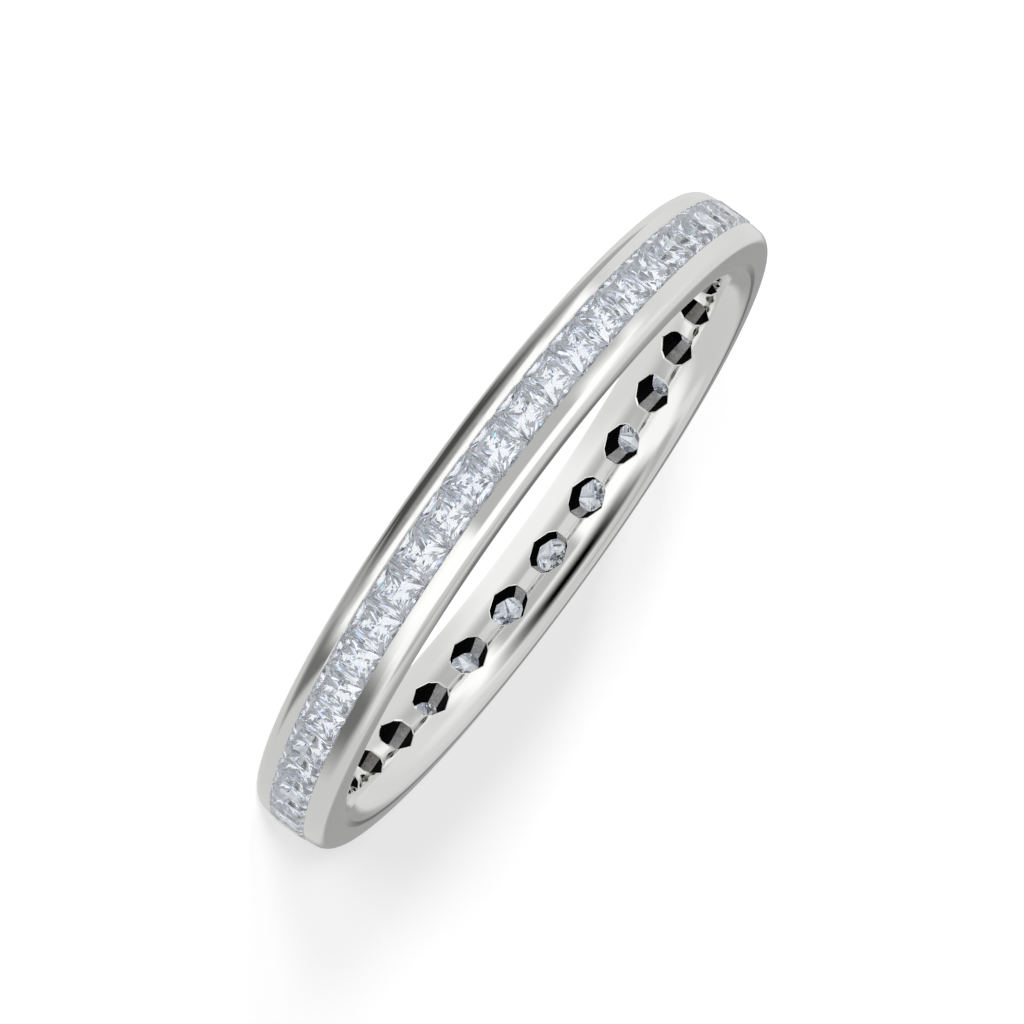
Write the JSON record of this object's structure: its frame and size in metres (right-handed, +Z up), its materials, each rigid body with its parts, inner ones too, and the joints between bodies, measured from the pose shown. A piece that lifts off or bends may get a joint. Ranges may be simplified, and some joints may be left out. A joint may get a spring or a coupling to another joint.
{
  "type": "channel-set eternity ring",
  "caption": "Slim polished band with square-cut stones channel-set edge to edge all the way round between two rails, over a pierced inner wall.",
  "frame": {"origin": "on the side face that the ring lies on, in the middle of the finger bore", "axes": "+Z up along the finger bore, +X through the middle of a stone that has no gallery hole behind it"},
  "size_m": [0.0198, 0.0198, 0.0023],
  "materials": {
    "white_metal": "polished",
    "stone": "polished"
  },
  "bodies": {
    "root": {"band": "white_metal", "stones": "stone"}
  },
  "joints": []
}
